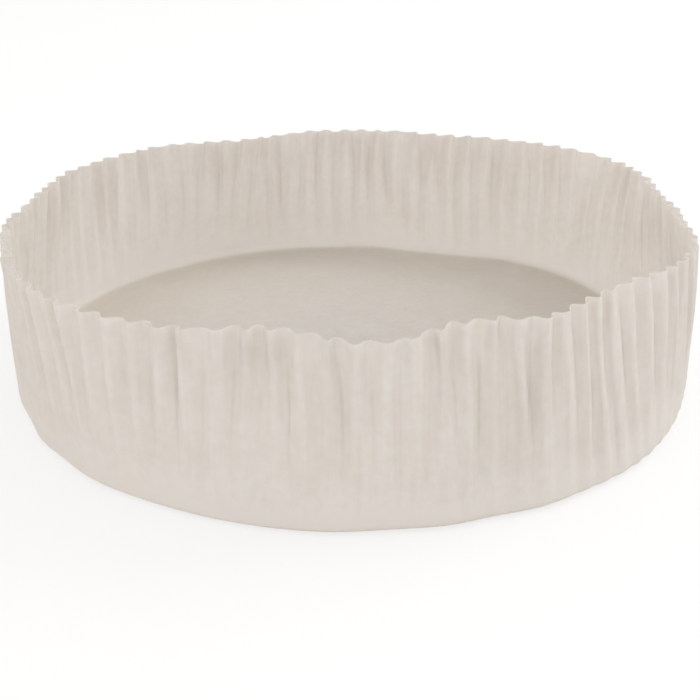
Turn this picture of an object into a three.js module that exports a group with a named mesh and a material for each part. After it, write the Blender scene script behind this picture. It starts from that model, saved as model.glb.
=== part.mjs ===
// A round cake liner: one disc of thin greaseproof paper, pressed into a case with a bowed floor and a fluted wall.
// The paper is worked out first as a surface without thickness, from the middle of the floor out to the rim, and
// then given its thickness. Lengths are in millimetres and +Z is up. The origin is the middle of the liner as seen
// from above, on the surface that it stands on. The front is towards -Y, and angles round the liner are in degrees,
// anticlockwise from +X as seen from above.
import * as THREE from "three";

// The case, to the middle of the paper
const footRadius = 102;
const rimRadius = 98.8;
const wallHeight = 48;
const paperThickness = 0.1;

// The floor: a flat ring that it stands on, the turn up into the wall, and the low bow inside the ring
const standWidth = 5;
const turnRadius = 2.5;
const floorRise = 3;
const floorSteps = [0.4, 0.72, 1]; // where the floor bends, as shares of the way out to the flat ring

// The flutes: round crests facing out and round valleys between them, joined by steep sides
const fluteCount = 94;
const fluteDepth = 2.6; // from crest to valley, at the rim
const sideSteepness = 0.8; // 0 gives a plain wave, and 1 gives sides that stand straight out from the wall
const fluteDeepening = 0.55; // the power of the height by which a flute deepens from the floor to the rim
const depthWander = 0.2; // how far a flute's depth strays from the plain one, as a share of it
const depthRhythm = [1.9, 4.3];
const valleyWander = 0.09; // how far a valley strays from its even place, as a share of a flute
const valleyRhythm = [2.4, 5.1];
const frontGather = 0.04; // how much closer together the flutes stand at the front than on average
const firstValley = 0.35; // the place of the first valley, in flutes from +X
const bendsPerFlute = 6;

// Heights at which the wall bends, as shares of the wall above the turn
const wallSteps = [0, 0.1, 0.36, 1];

// Where the soft wall has been pressed out (+) or in (-): the angle, how far it spreads to each side, and how far
const rimPresses = [
  { at: 5, spread: 18, by: -2.5 },
  { at: 36, spread: 34, by: 7.5 },
  { at: 114, spread: 18, by: -7 },
  { at: 148, spread: 24, by: 1.3 },
  { at: 178, spread: 20, by: -3 },
  { at: 230, spread: 34, by: 4.8 },
  { at: 260, spread: 14, by: -3 },
  { at: 273, spread: 12, by: 3.2 },
  { at: 287, spread: 12, by: -4.8 },
  { at: 312, spread: 19, by: -4.5 },
  { at: 338, spread: 16, by: 1.2 },
];
const footPresses = [
  { at: 44, spread: 28, by: 4.5 },
  { at: 71, spread: 16, by: -2.5 },
  { at: 186, spread: 40, by: -1 },
  { at: 270, spread: 60, by: 0.8 },
  { at: 352, spread: 32, by: 1.2 },
];

// At the front left the lower wall was pressed smooth, so that its flutes deepen later
const smoothPatch = { at: 245, spread: 75, by: 0.8 };

const fullTurn = 2 * Math.PI;
const { degToRad, lerp, euclideanModulo } = THREE.MathUtils;

// A press fades from its middle to nothing at its spread, along one wave of a cosine.
function pressAt(angle, press) {
  const spread = degToRad(press.spread);
  const away = Math.abs(euclideanModulo(angle - degToRad(press.at) + Math.PI, fullTurn) - Math.PI);
  return away < spread ? (press.by * (1 + Math.cos((Math.PI * away) / spread))) / 2 : 0;
}

function outline(radius, presses, angle) {
  return presses.reduce((sum, press) => sum + pressAt(angle, press), radius);
}

const footOutline = (angle) => outline(footRadius, footPresses, angle);
const rimOutline = (angle) => outline(rimRadius, rimPresses, angle);

// An uneven rhythm of two waves, between -1 and 1, by which one flute differs from the next.
function unevenness(i, [slow, quick]) {
  return (2 * Math.sin(slow * i) + Math.sin(quick * i + 1)) / 3;
}

// The angle of the valley where flute number i starts.
function valleyAngle(i) {
  const place = i + firstValley + valleyWander * unevenness(i, valleyRhythm);
  const even = (fullTurn * place) / fluteCount;
  return even - frontGather * Math.cos(even);
}

// How deep flute number i is beside the plain one.
function depthShare(i) {
  return 1 + depthWander * unevenness(i, depthRhythm);
}

// The places round the wall where the paper bends: several to each flute, from its valley over its crest. Each has
// an angle, and how far it stands out from the middle of the wall for a flute of depth 1.
const bends = [];
for (let i = 0; i < fluteCount; i++) {
  const start = valleyAngle(i);
  const end = i + 1 < fluteCount ? valleyAngle(i + 1) : valleyAngle(0) + fullTurn;
  for (let k = 0; k < bendsPerFlute; k++) {
    const phase = (fullTurn * k) / bendsPerFlute;
    const across = (phase + (sideSteepness * Math.sin(2 * phase)) / 2) / fullTurn;
    bends.push({ angle: lerp(start, end, across), out: (-depthShare(i) * Math.cos(phase)) / 2 });
  }
}
const valleys = bends.filter((bend, i) => i % bendsPerFlute === 0);

function pointAt(angle, radius, height) {
  return new THREE.Vector3(radius * Math.cos(angle), radius * Math.sin(angle), height + paperThickness / 2);
}

// One ring of the floor, with a point below each valley. The share runs from the middle to the flat ring.
function floorRing(share) {
  return valleys.map(({ angle }) => {
    const radius = share * (footOutline(angle) - turnRadius - standWidth);
    return pointAt(angle, radius, floorRise * (1 - share ** 3));
  });
}

// The outer edge of the flat ring, where the turn starts.
function standRing() {
  return valleys.map(({ angle }) => pointAt(angle, footOutline(angle) - turnRadius, 0));
}

// A ring half-way up the turn, on the quarter circle that joins floor and wall.
function turnRing() {
  const climb = Math.PI / 4;
  return valleys.map(({ angle }) => {
    const radius = footOutline(angle) - turnRadius * (1 - Math.sin(climb));
    return pointAt(angle, radius, turnRadius * (1 - Math.cos(climb)));
  });
}

// One ring of the fluted wall. The share runs from the top of the turn to the rim.
function wallRing(share) {
  const height = lerp(turnRadius, wallHeight, share);
  const climbed = height / wallHeight;
  return bends.map(({ angle, out }) => {
    const depth = fluteDepth * climbed ** (fluteDeepening + pressAt(angle, smoothPatch));
    const radius = lerp(footOutline(angle), rimOutline(angle), share) + depth * out;
    return pointAt(angle, radius, height - paperThickness / 2);
  });
}

// A surface without thickness, made of rings from the middle out. Its faces point up on the floor and in on the wall.
class Sheet {
  points = [];
  triangles = [];

  add(points) {
    const first = this.points.length;
    this.points.push(...points);
    return points.map((point, i) => first + i);
  }

  // Joins a middle point to the ring round it.
  fan(middle, ring) {
    ring.forEach((corner, i) => this.triangles.push(middle, corner, ring[(i + 1) % ring.length]));
  }

  // Joins a ring to the next one out, which has the same number of points, or some times as many.
  band(inner, outer) {
    const times = outer.length / inner.length;
    inner.forEach((corner, i) => {
      for (let k = 0; k < times; k++) {
        const from = i * times + k;
        this.triangles.push(corner, outer[from], outer[(from + 1) % outer.length]);
      }
      const next = (i + 1) % inner.length;
      this.triangles.push(corner, outer[next * times], inner[next]);
    });
  }
}

// For each point, the way to move it so that both skins stay the paper's thickness apart: along the mean of the
// faces round it, and further where they meet at a sharp fold.
function offsetDirections(sheet) {
  const means = sheet.points.map(() => new THREE.Vector3());
  const faces = [];
  const triangle = new THREE.Triangle();
  for (let t = 0; t < sheet.triangles.length; t += 3) {
    const corners = sheet.triangles.slice(t, t + 3);
    triangle.set(...corners.map((corner) => sheet.points[corner]));
    const normal = triangle.getNormal(new THREE.Vector3());
    corners.forEach((corner) => means[corner].addScaledVector(normal, triangle.getArea()));
    faces.push({ corners, normal });
  }
  means.forEach((mean) => mean.normalize());
  const agreement = means.map(() => ({ sum: 0, count: 0 }));
  for (const { corners, normal } of faces) {
    for (const corner of corners) {
      agreement[corner].sum += means[corner].dot(normal);
      agreement[corner].count += 1;
    }
  }
  return means.map((mean, i) => mean.multiplyScalar(agreement[i].count / agreement[i].sum));
}

// Makes the closed solid of a sheet: an upper skin, a lower skin, and the cut edge that joins them round the rim.
// The ring that the liner stands on stays flat, and the cut edge stays level.
function thicken(sheet, rim, standing, thickness) {
  const directions = offsetDirections(sheet);
  standing.forEach((point) => directions[point].set(0, 0, 1));
  rim.forEach((point) => directions[point].setZ(0));
  const skin = (side) =>
    sheet.points.map((point, i) => point.clone().addScaledVector(directions[i], (side * thickness) / 2));
  const count = sheet.points.length;
  const index = [...sheet.triangles];
  for (let t = 0; t < sheet.triangles.length; t += 3) {
    const [a, b, c] = sheet.triangles.slice(t, t + 3);
    index.push(count + a, count + c, count + b);
  }
  rim.forEach((corner, i) => {
    const next = rim[(i + 1) % rim.length];
    index.push(corner, count + corner, count + next);
    index.push(corner, count + next, next);
  });
  const geometry = new THREE.BufferGeometry().setFromPoints([...skin(1), ...skin(-1)]);
  geometry.setIndex(index);
  geometry.computeVertexNormals();
  return geometry;
}

function linerGeometry() {
  const sheet = new Sheet();
  const [middle] = sheet.add([pointAt(0, 0, floorRise)]);
  const rings = [];
  for (const share of floorSteps) {
    rings.push(sheet.add(floorRing(share)));
  }
  sheet.fan(middle, rings[0]);
  const standInner = rings[rings.length - 1];
  const standOuter = sheet.add(standRing());
  rings.push(standOuter, sheet.add(turnRing()));
  for (const share of wallSteps) {
    rings.push(sheet.add(wallRing(share)));
  }
  rings.slice(1).forEach((ring, i) => sheet.band(rings[i], ring));
  const rim = rings[rings.length - 1];
  const geometry = thicken(sheet, rim, [...standInner, ...standOuter], paperThickness);
  geometry.computeBoundingBox();
  const centre = geometry.boundingBox.getCenter(new THREE.Vector3());
  return geometry.translate(-centre.x, -centre.y, 0);
}

function greaseproofPaper() {
  return new THREE.MeshStandardMaterial({ color: 0xd9d1c7, roughness: 0.85, metalness: 0, side: THREE.DoubleSide });
}

const liner = new THREE.Mesh(linerGeometry(), greaseproofPaper());
liner.name = "paper_liner";

const group = new THREE.Group();
group.name = "cake_liner";
group.add(liner);

export default group;
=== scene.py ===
import math

import bpy
import numpy as np
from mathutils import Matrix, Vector


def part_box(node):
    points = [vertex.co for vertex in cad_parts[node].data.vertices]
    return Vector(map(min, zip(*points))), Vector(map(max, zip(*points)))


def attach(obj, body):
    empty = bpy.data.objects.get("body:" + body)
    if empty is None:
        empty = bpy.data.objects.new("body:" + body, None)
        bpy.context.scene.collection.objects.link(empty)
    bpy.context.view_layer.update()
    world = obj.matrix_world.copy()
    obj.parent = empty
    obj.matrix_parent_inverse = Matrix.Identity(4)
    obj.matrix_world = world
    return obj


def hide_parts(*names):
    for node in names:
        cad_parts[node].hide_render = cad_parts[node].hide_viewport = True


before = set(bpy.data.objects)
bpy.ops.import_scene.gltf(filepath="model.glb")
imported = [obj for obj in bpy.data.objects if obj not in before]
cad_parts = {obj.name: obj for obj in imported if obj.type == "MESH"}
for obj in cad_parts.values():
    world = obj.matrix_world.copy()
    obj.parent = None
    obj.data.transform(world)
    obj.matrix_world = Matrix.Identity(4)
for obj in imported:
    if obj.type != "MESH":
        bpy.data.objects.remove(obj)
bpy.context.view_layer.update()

# The looks of a round cake liner: one sheet of greaseproof paper, gathered into flutes round a bowed floor.
# Shapes are worked out in millimetres and put into the meshes in metres. Angles in tables are in degrees,
# anticlockwise from +X as seen from above.
MM = 0.001

# The case, to the middle of the paper, and its plain flutes. These values are those of the part's source.
FOOT_RADIUS = 102
RIM_RADIUS = 98.8
WALL_HEIGHT = 48
PAPER = 0.1
STAND_WIDTH = 5
TURN_RADIUS = 2.5
FLOOR_RISE = 3
FLUTES = 94
FLUTE_DEPTH = 2.6
DEPTH_WANDER = 0.2
DEPTH_RHYTHM = (1.9, 4.3)
VALLEY_WANDER = 0.09
VALLEY_RHYTHM = (2.4, 5.1)
FRONT_GATHER = 0.04
FIRST_VALLEY = 0.35

# Where the wall is pressed out or in: an angle, a spread to each side, and how far in millimetres. The source
# leaves out the slight presses at 350 degrees on the rim, and at 205 and 312 degrees on the foot.
RIM_PRESSES = [
    (5, 18, -2.5), (36, 34, 7.5), (114, 18, -7), (148, 24, 1.3), (178, 20, -3), (230, 34, 4.8),
    (260, 14, -3), (273, 12, 3.2), (287, 12, -4.8), (312, 19, -4.5), (338, 16, 1.2), (350, 12, -2.5),
]
FOOT_PRESSES = [
    (44, 28, 4.5), (71, 16, -2.5), (186, 40, -1), (205, 30, -0.9), (270, 60, 0.8), (312, 30, 1.4),
    (352, 32, 1.2),
]

# How finely the sheet is divided
STEPS_PER_FLUTE = 16
FLOOR_RINGS = 9
TURN_ANGLES = (0, 30, 60, 90)
WALL_RINGS = 19
EDGE_RING = 0.4  # how far below the rim the last ring lies, in millimetres

# The paper's own small ways, which differ from flute to flute. A patch says where one of them is stronger or
# weaker: an angle, a spread and by how much.
SEED = 11
WAYS = ("roll", "pinch", "steep", "waver", "beat", "stray", "across", "upward", "crease")
DEEPENING = 0.75  # the power of the height by which a flute deepens
SMOOTH_PATCHES = [(245, 75, 0.6), (122, 52, 0.9), (312, 42, -0.35)]
SHALLOW_PATCHES = [(278, 11, -0.4), (318, 36, -0.36)]
STEEPNESS = 0.3  # 0 gives a plain wave, and 1 gives sides that stand straight out from the wall
STEEPNESS_WANDER = 0.3
ROLL = 0.05  # how far valleys lean sideways over their flutes, as a share of a flute
ROLLED_PATCH = (236, 24, 0.04)
PINCH = -0.12  # above 0, valleys are narrower than crests, and below 0, broader
PINCHED_PATCH = (322, 34, 0.3)
WAVER = 0.11  # how far a fold wavers on its way up, as a share of a flute
WAVER_PHASES = (3, 5)  # in radians: from flute to flute, and from the foot to the rim
BEAT = 0.26  # how much a flute's depth swells and fades on its way up, as a share of it
BEAT_PHASES = (4, 6)
CREASE = 0.2  # the depth of the sharp crease along each valley, as a share of the flute's depth
CREASE_WANDER = 0.5
CREASE_SHARPNESS = 4
CREASE_REACH = (0.62, 0.3)  # its middle and spread, as shares of the wall's height
CREASED_PATCH = (326, 36, 0.08)
WRINKLE = 0.04  # the depth of the short second crease on each flute, as a share of the flute's depth
WRINKLED_PATCHES = [(276, 22, 0.12), (322, 40, 0.22), (20, 30, 0.1)]
WRINKLE_ACROSS = (0.5, 0.3, 0.07)  # its middle, how far that strays, and its spread, as shares of a flute
WRINKLE_UPWARD = (0.6, 0.35, 0.4)  # the same three up the wall, as shares of its height

# Slight unevenness of the whole case, in millimetres
FOOT_WAVE = 0.3
FOOT_WAVES = 17  # how many there are round the foot
FOOT_WAVE_DRIFT = (5, 2)  # how often they crowd together, and by how much in radians
WALL_BILLOW = 0.5
BILLOWS = (5, 3)  # the two counts round the wall whose product gives the billows
BILLOW_START = 1  # in radians
RIM_STRAY = 0.25
RIM_STRAY_POWER = 8
FLOOR_SWELL = 0.7  # how far the bowed floor dips at the angle below and opposite it, and rises in between
FLOOR_SWELL_AT = 50

# The paper's pattern: how many spots to a metre, and how much detail they have
CLOUD = (90, 3)
MOTTLE = (450, 4)
FIBRE = (2600, 2)
STREAK = (900, 2)
STREAK_STRETCH = (1, 1, 0.06)
TONE_SHARES = (0.24, 0.4, 0.16, 0.2)  # of cloud, mottle, fibre and streak in the paper's tone
RELIEF_SHARES = (0.4, 0.9, 0.6, 1.1)  # of the same in its relief
RELIEF_HEIGHT = 0.12
RELIEF_STRENGTH = 0.4

# The paper's tone, from 0, the darker paper, to 1, the paler paper, and the painted light and shade that are
# added to it, and where
PLAIN_TONE = 0.5
TONE_CONTRAST = 2
# painted light: the floor's colour grows lighter towards its edge, against the shade there
PAINTED_LIGHT_OUTWARDS = 0.2
# painted light: the wall's colour is made lighter than the floor's
PAINTED_WALL_LIGHT = 0.1
# painted light: the wall's colour is lighter at the foot, fading upwards
PAINTED_FOOT_LIGHT = 0.38
PAINTED_FOOT_LIGHT_HEIGHT = 14  # where the painted light at the foot has faded out
# painted highlight: a lighter line along the turn between floor and wall
PAINTED_TURN_HIGHLIGHT = 0.3
# painted shade: the colour is darker along the creases
PAINTED_CREASE_SHADE = 0.28
# painted shade: the floor's colour is tinted warm towards its edge
PAINTED_WARM_SHADE = 0.45
DARKER_PAPER = (214, 206, 197)
PALER_PAPER = (243, 240, 236)
# the colour of the painted warm shade on the floor
PAINTED_SHADE_COLOUR = (250, 238, 222)
LIT_THROUGH = (237, 233, 229)
ROUGHNESS = 0.74
ROUGHNESS_OF_MOTTLE = 0.16
SPECULAR = 0.28
SHINES_THROUGH = 0.45  # the share of light that goes through the paper
WALL_SHINES_MORE = 0.13

# The studio
FLOOR_COLOUR = (232, 231, 229)
FLOOR_REACH = 3
FLOOR_LEVEL = -0.2  # in millimetres, just under the liner
FLOOR_GLOW = 1.05
FLOOR_GLOW_SHARE = 0.62
WHITE = (1, 1, 1, 1)

# The camera that the photo was taken with, in millimetres and degrees
CAMERA_PLACE = (0.5, -301, 137)
CAMERA_PITCH = 24.5
CAMERA_LENS = 53.35
CAMERA_SENSOR = 36


def presses(angle, places):
    """The sum of soft presses at an angle. Each is one wave of a cosine, highest at its own angle."""
    total = np.zeros_like(angle)
    for at, spread, by in places:
        away = (np.degrees(angle) - at + 180) % 360 - 180
        total += np.where(abs(away) < spread, by * (1 + np.cos(np.pi * away / spread)) / 2, 0)
    return total


def unevenness(i, rhythm):
    """Two waves of the flute's number, between -1 and 1."""
    return (2 * np.sin(rhythm[0] * i) + np.sin(rhythm[1] * i + 1)) / 3


def between(values, u):
    """A value for each place u, counted in flutes, on a straight line between the values of whole flutes."""
    i = np.floor(u).astype(int)
    return values[i] + (values[(i + 1) % len(values)] - values[i]) * (u - i)


def bell(away, spread):
    """A bell curve: 1 at no distance away, and nearly nothing past twice its spread."""
    return np.exp(-((away / spread) ** 2))


def profile_rows():
    """The sheet from the middle of the floor to the rim, as rows of (share of the floor's radius, inset from
    the foot's outline, height): the bowed floor, the flat ring, a quarter circle, and the wall."""
    inset = STAND_WIDTH + TURN_RADIUS
    floor = [(s, inset, FLOOR_RISE * (1 - s**3)) for s in np.linspace(0, 1, FLOOR_RINGS + 1)[1:]]
    turn = [
        (1, TURN_RADIUS * (1 - math.sin(a)), TURN_RADIUS * (1 - math.cos(a))) for a in np.radians(TURN_ANGLES)
    ]
    wall = [(1, 0, z) for z in np.linspace(TURN_RADIUS, WALL_HEIGHT - PAPER / 2, WALL_RINGS + 1)[1:]]
    edge = (1, 0, WALL_HEIGHT - EDGE_RING)
    return np.array(floor + turn + wall[:-1] + [edge, wall[-1]])


def flute_layout():
    """The angle of each flute's valley, and the share of its depth. Valleys stand evenly but for a wander,
    and a cosine gathers them at the front."""
    number = np.arange(FLUTES)
    place = number + FIRST_VALLEY + VALLEY_WANDER * unevenness(number, VALLEY_RHYTHM)
    even = 2 * np.pi * place / FLUTES
    return even - FRONT_GATHER * np.cos(even), 1 + DEPTH_WANDER * unevenness(number, DEPTH_RHYTHM)


def fold_shift(phase, middle, u, own):
    """How far a point moves along the wall, as a share of its flute: a sine of twice the flute makes the
    sides steep, a sine of the flute pinches the valley, and a cosine rolls it over."""
    roll = ROLL * between(own["roll"], u) + presses(middle, [ROLLED_PATCH])
    pinch = PINCH * (1 + between(own["pinch"], u)) + presses(middle, [PINCHED_PATCH])
    steep = STEEPNESS * (1 + STEEPNESS_WANDER * between(own["steep"], u))
    steepened = steep * np.sin(2 * phase) / (4 * np.pi)
    return steepened - pinch * np.sin(phase) / (2 * np.pi) + roll * np.cos(phase) / 2


def fold_creases(phase, middle, u, climbed, own):
    """The depth of the creases, as a share of the flute's depth: a sharp dip along the valley, and a narrow
    bell somewhere on the flute. Both fade up and down the wall as bells."""
    i = np.floor(u).astype(int)
    valley = CREASE * (1 + CREASE_WANDER * between(own["crease"], u))
    valley = valley + presses(middle, [CREASED_PATCH])
    valley = valley * (1 - abs(np.sin(phase / 2))) ** CREASE_SHARPNESS
    valley = valley * bell(climbed - CREASE_REACH[0], CREASE_REACH[1])
    at, stray, spread = WRINKLE_ACROSS
    across = bell(u - i - at - stray * own["across"][i], spread)
    at, stray, spread = WRINKLE_UPWARD
    upward = bell(climbed - at - stray * own["upward"][i], spread)
    return valley + (WRINKLE + presses(middle, WRINKLED_PATCHES)) * across * upward


def liner_surface():
    """The middle of the paper, as rows of points. Across a flute a point goes out and in as a cosine, less
    the creases, and moves along the wall by the fold's shift and a sine that wavers with height. The depth
    grows as a power of the height. Sines of the angle make the foot, wall and floor uneven. Beside the points
    it gives how sharply the paper is creased there: about 1 along a common crease, and 0 away from it."""
    valley, depth = flute_layout()
    rng = np.random.default_rng(SEED)
    own = {way: rng.uniform(-1, 1, FLUTES) for way in WAYS}

    u = np.arange(FLUTES * STEPS_PER_FLUTE)[None, :] / STEPS_PER_FLUTE
    share, inset, height = (column[:, None] for column in profile_rows().T)
    climbed = np.where(share < 1, 0, np.clip(height / WALL_HEIGHT, 0, 1))

    i = np.floor(u).astype(int)
    ends = np.append(valley, valley[0] + 2 * np.pi)
    start, width = ends[i], ends[i + 1] - ends[i]
    middle = start + width * (u - i)
    phase = 2 * np.pi * (u - i)
    waver = np.sin(WAVER_PHASES[0] * between(own["waver"], u) + WAVER_PHASES[1] * climbed)
    grown = climbed ** (DEEPENING + presses(middle, SMOOTH_PATCHES))
    angle = middle + width * (grown * fold_shift(phase, middle, u, own) + WAVER * waver * climbed)

    creases = fold_creases(phase, middle, u, climbed, own)
    beat = 1 + BEAT * np.sin(BEAT_PHASES[0] * between(own["beat"], u) + BEAT_PHASES[1] * climbed)
    fullness = (between(depth, u) + presses(middle, SHALLOW_PATCHES)) * beat
    out = FLUTE_DEPTH * grown * fullness * (-np.cos(phase) / 2 - creases)

    count, crowding = FOOT_WAVE_DRIFT
    foot_wave = np.sin(FOOT_WAVES * angle + crowding * np.sin(count * angle))
    foot = FOOT_RADIUS + presses(angle, FOOT_PRESSES) + FOOT_WAVE * foot_wave
    rim = RIM_RADIUS + presses(angle, RIM_PRESSES)
    up = np.clip((height - TURN_RADIUS) / (WALL_HEIGHT - TURN_RADIUS), 0, 1)
    billow = np.sin(np.pi * up) * np.sin(BILLOWS[0] * angle + BILLOW_START) * np.sin(BILLOWS[1] * angle)
    radius = share * (foot - inset) + up * (rim - foot) + out + WALL_BILLOW * billow

    lift = RIM_STRAY * climbed**RIM_STRAY_POWER * between(own["stray"], u)
    swell = 4 * share**2 * (1 - share**2) * np.cos(2 * (angle - math.radians(FLOOR_SWELL_AT)))
    z = height + lift - FLOOR_SWELL * swell + PAPER / 2
    points = np.stack([radius * np.cos(angle), radius * np.sin(angle), z], -1)
    return points, np.where(share < 1, 0, creases / CREASE)


def sheet_normals(points):
    """The unit normal of a closed grid at each point, from its neighbours along and up the sheet."""
    around = np.roll(points, -1, 1) - np.roll(points, 1, 1)
    normal = np.cross(around, np.gradient(points, axis=0))
    return -normal / np.linalg.norm(normal, axis=-1, keepdims=True)


def paper_mesh(name, points, sharpness):
    """A closed solid of paper about a grid of points: a skin on each side, half the paper's thickness along
    the normal, a fan at the middle of the floor, and the cut edge round the rim. The ring that it stands on
    stays flat. The sharpness of its creases goes with it as an attribute."""
    normal = sheet_normals(points)
    normal[points[..., 2] < PAPER] = (0, 0, 1)
    normal[-1, :, 2] = 0
    rows, columns = points.shape[:2]
    hub = np.array([[0, 0, points[0, :, 2].mean() + PAPER / 2]])
    up = np.array([[0, 0, 1]])
    sheet = np.vstack([points.reshape(-1, 3), hub])
    normal = np.vstack([normal.reshape(-1, 3), up])
    skins = np.vstack([sheet + PAPER / 2 * normal, sheet - PAPER / 2 * normal])
    count = len(sheet)
    grid = np.arange(rows * columns).reshape(rows, columns)
    after = np.roll(grid, -1, 1)
    upper = np.stack([grid[:-1], grid[1:], after[1:], after[:-1]], -1).reshape(-1, 4)
    lower = upper[:, ::-1] + count
    edge = np.stack([grid[-1], grid[-1] + count, after[-1] + count, after[-1]], -1)
    fan = np.stack([np.full(columns, count - 1), grid[0], after[0]], -1)
    faces = np.vstack([upper, lower, edge]).tolist() + fan.tolist() + (fan[:, ::-1] + count).tolist()
    mesh = bpy.data.meshes.new(name)
    mesh.from_pydata((skins * MM).tolist(), [], faces)
    mesh.shade_smooth()
    creased = mesh.attributes.new("creased", "FLOAT", "POINT")
    creased.data.foreach_set("value", np.tile(np.append(sharpness, 0), 2))
    return add_object(name, mesh)


def add_object(name, data):
    """Puts a mesh, lamp or camera into the scene as an object."""
    thing = bpy.data.objects.new(name, data)
    bpy.context.scene.collection.objects.link(thing)
    return thing


class Field:
    """A number that changes over a surface. Arithmetic on it adds Math nodes."""

    def __init__(self, tree, socket):
        self.tree, self.socket = tree, socket

    def combine(self, operation, *terms):
        return self.tree.node("Math", {"operation": operation}, dict(enumerate(terms)))

    def __add__(self, other):
        return self.combine("ADD", self, other)

    def __sub__(self, other):
        return self.combine("SUBTRACT", self, other)

    def __rsub__(self, other):
        return self.combine("SUBTRACT", other, self)

    def __mul__(self, other):
        return self.combine("MULTIPLY", self, other)

    __radd__, __rmul__ = __add__, __mul__


class Tree:
    """The nodes of one material or world. node() adds a node, with its settings first and then its sockets,
    and gives back its first output, or the one that is asked for."""

    def __init__(self, owner):
        owner.use_nodes = True
        self.tree = owner.node_tree
        self.tree.nodes.clear()

    def node(self, kind, settings=None, inputs=None, output=0):
        made = self.tree.nodes.new("ShaderNode" + kind)
        for name, value in (settings or {}).items():
            setattr(made, name, value)
        for name, value in (inputs or {}).items():
            value = value.socket if isinstance(value, Field) else value
            if isinstance(value, bpy.types.NodeSocket):
                self.tree.links.new(value, made.inputs[name])
            else:
                made.inputs[name].default_value = value
        return Field(self, made.outputs[output]) if len(made.outputs) else made

    def mix_colours(self, factor, first, second):
        return self.node(
            "Mix", {"data_type": "RGBA"}, {"Factor": factor, "A": first, "B": second}, output="Result"
        )


def srgb(red, green, blue):
    """A colour given by its screen values from 0 to 255, as Blender's linear colour."""
    share = np.array([red, green, blue]) / 255
    linear = np.where(share > 0.04045, ((share + 0.055) / 1.055) ** 2.4, share / 12.92)
    return (*linear.tolist(), 1)


def greaseproof_paper():
    """Matt, warm off-white paper that lets some light through: cloudy where its fibres lie thicker, with a
    fine fibrous tooth and faint streaks up the wall. Light and shade are painted into its colour: painted
    light on the wall, towards the floor's edge and at the foot, a painted highlight along the turn, painted
    shade along the creases, and a painted warm tint of shade on the floor's outer part."""
    material = bpy.data.materials.new("greaseproof_paper")
    tree = Tree(material)
    place = tree.node("TexCoord", output="Object")

    def noise(scale, detail, stretch=(1, 1, 1)):
        spot = tree.node("Mapping", inputs={"Vector": place, "Scale": stretch})
        inputs = {"Vector": spot, "Scale": scale, "Detail": detail}
        return tree.node("TexNoise", {"noise_dimensions": "3D"}, inputs)

    def rising(value, low, high):
        inputs = {"Value": value, "From Min": low * MM, "From Max": high * MM}
        return tree.node("MapRange", inputs=inputs)

    mottle = noise(*MOTTLE)
    patterns = (noise(*CLOUD), mottle, noise(*FIBRE), noise(*STREAK, STREAK_STRETCH))
    tone = sum(share * pattern for share, pattern in zip(TONE_SHARES, patterns))
    relief = sum(share * pattern for share, pattern in zip(RELIEF_SHARES, patterns))

    height = tree.node("SeparateXYZ", inputs={"Vector": place}, output="Z")
    plan = tree.node("Mapping", inputs={"Vector": place, "Scale": (1, 1, 0)})
    from_middle = tree.node("VectorMath", {"operation": "LENGTH"}, {0: plan}, output="Value")
    bowed_floor = FOOT_RADIUS - STAND_WIDTH - TURN_RADIUS
    off_ground = rising(height, 0, TURN_RADIUS / 2)
    wall = rising(from_middle, bowed_floor - STAND_WIDTH, bowed_floor) * off_ground
    outwards = rising(from_middle, 0, bowed_floor)
    # where the painted light at the foot goes
    foot = wall * (1 - rising(height, 0, PAINTED_FOOT_LIGHT_HEIGHT))
    # where the painted highlight along the turn goes
    turn = wall * (1 - rising(height, TURN_RADIUS / 2, 2 * TURN_RADIUS))
    creased = tree.node("Attribute", {"attribute_name": "creased"}, output="Fac")

    # the paper's random tone plus painted light on the wall, towards the floor's edge, at the foot and on the
    # turn, less painted shade along the creases
    tone_and_painted_light = (tone - 0.5) * TONE_CONTRAST + PLAIN_TONE + PAINTED_LIGHT_OUTWARDS * outwards + PAINTED_WALL_LIGHT * wall
    tone_and_painted_light = tone_and_painted_light + PAINTED_FOOT_LIGHT * foot + PAINTED_TURN_HIGHLIGHT * turn - PAINTED_CREASE_SHADE * creased
    colour = tree.mix_colours(tone_and_painted_light, srgb(*DARKER_PAPER), srgb(*PALER_PAPER))
    # a painted warm tint of shade over the floor's outer part
    colour = tree.mix_colours(PAINTED_WARM_SHADE * (outwards - wall), colour, srgb(*PAINTED_SHADE_COLOUR))
    bump = tree.node(
        "Bump", inputs={"Strength": RELIEF_STRENGTH, "Distance": RELIEF_HEIGHT * MM, "Height": relief}
    )
    front = tree.node(
        "BsdfPrincipled",
        inputs={
            "Base Color": colour,
            "Roughness": ROUGHNESS + ROUGHNESS_OF_MOTTLE * mottle,
            "Specular IOR Level": SPECULAR,
            "Normal": bump,
        },
    )
    through = tree.node("BsdfTranslucent", inputs={"Color": srgb(*LIT_THROUGH), "Normal": bump})
    share_through = SHINES_THROUGH + WALL_SHINES_MORE * wall
    both = tree.node("MixShader", inputs={"Fac": share_through, 1: front, 2: through})
    tree.node("OutputMaterial", inputs={"Surface": both})
    return material


def white_sweep():
    """The pale floor. To the camera it is white, but for the liner's shadow on it."""
    material = bpy.data.materials.new("white_sweep")
    tree = Tree(material)
    seen = tree.node("LightPath", output="Is Camera Ray")
    matt = tree.node("BsdfDiffuse", inputs={"Color": srgb(*FLOOR_COLOUR)})
    white = tree.node("Emission", inputs={"Color": WHITE, "Strength": FLOOR_GLOW})
    both = tree.node("MixShader", inputs={"Fac": FLOOR_GLOW_SHARE * seen, 1: matt, 2: white})
    tree.node("OutputMaterial", inputs={"Surface": both})
    return material


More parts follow.
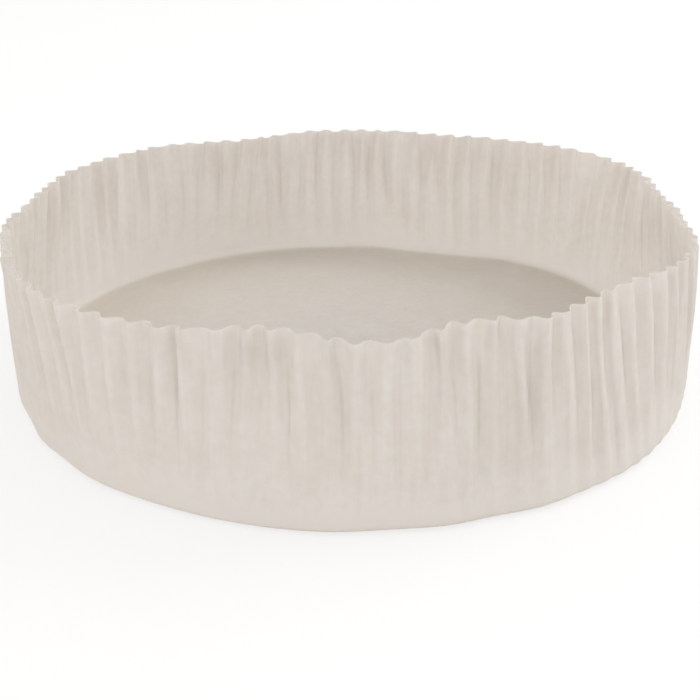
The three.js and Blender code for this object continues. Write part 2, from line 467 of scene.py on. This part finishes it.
def white_world():
    """Even white light from all round, which is also the backdrop."""
    world = bpy.data.worlds.new("studio")
    bpy.context.scene.world = world
    tree = Tree(world)
    background = tree.node("Background", inputs={"Color": WHITE, "Strength": 1.0})
    tree.node("OutputWorld", inputs={"Surface": background})


def soft_light(name, place, aim, size, watts):
    """A square studio light that looks from its place at a point."""
    lamp = bpy.data.lights.new(name, "AREA")
    lamp.size, lamp.energy = size, watts
    light = add_object(name, lamp)
    light.location = place
    light.rotation_euler = (Vector(aim) - Vector(place)).to_track_quat("-Z", "Y").to_euler()


def stage_floor():
    """A broad level floor under the liner."""
    mesh = bpy.data.meshes.new("studio_floor")
    signs = ((-1, -1), (1, -1), (1, 1), (-1, 1))
    corners = [(x * FLOOR_REACH, y * FLOOR_REACH, FLOOR_LEVEL * MM) for x, y in signs]
    mesh.from_pydata(corners, [], [(0, 1, 2, 3)])
    mesh.materials.append(white_sweep())
    floor = add_object("studio_floor", mesh)


def photo_camera(shift):
    """The camera, where the photographer stood. It moves with the liner when that is put in the frame."""
    camera = add_object("camera", bpy.data.cameras.new("camera"))
    camera.data.sensor_width = CAMERA_SENSOR
    camera.data.lens = CAMERA_LENS
    camera.location = (np.array(CAMERA_PLACE) + (*shift, 0)) * MM
    camera.rotation_euler = (math.radians(90 - CAMERA_PITCH), 0, 0)
    bpy.context.scene.camera = camera


def middle_of(low, high):
    """The middle of a box, seen from above."""
    return (np.array(low) + np.array(high))[:2] / 2


# The scene's sheet is put where the solid is, with its middle over the solid's middle
points, sharpness = liner_surface()
shift = middle_of(*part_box("paper_liner")) / MM - middle_of(points.min((0, 1)), points.max((0, 1)))
points[..., :2] += shift
paper = paper_mesh("gathered_paper", points, sharpness)
paper.data.materials.append(greaseproof_paper())
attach(paper, "root")
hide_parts("paper_liner")

stage_floor()
photo_camera(shift)
white_world()
soft_light("front", place=(0.5, -1.05, 0.5), aim=(0, 0, 0.02), size=0.9, watts=1.9)
soft_light("behind", place=(1.1, 0.5, 0.88), aim=(0, 0, 0), size=0.9, watts=7)
bpy.context.scene.view_settings.view_transform = "Standard"
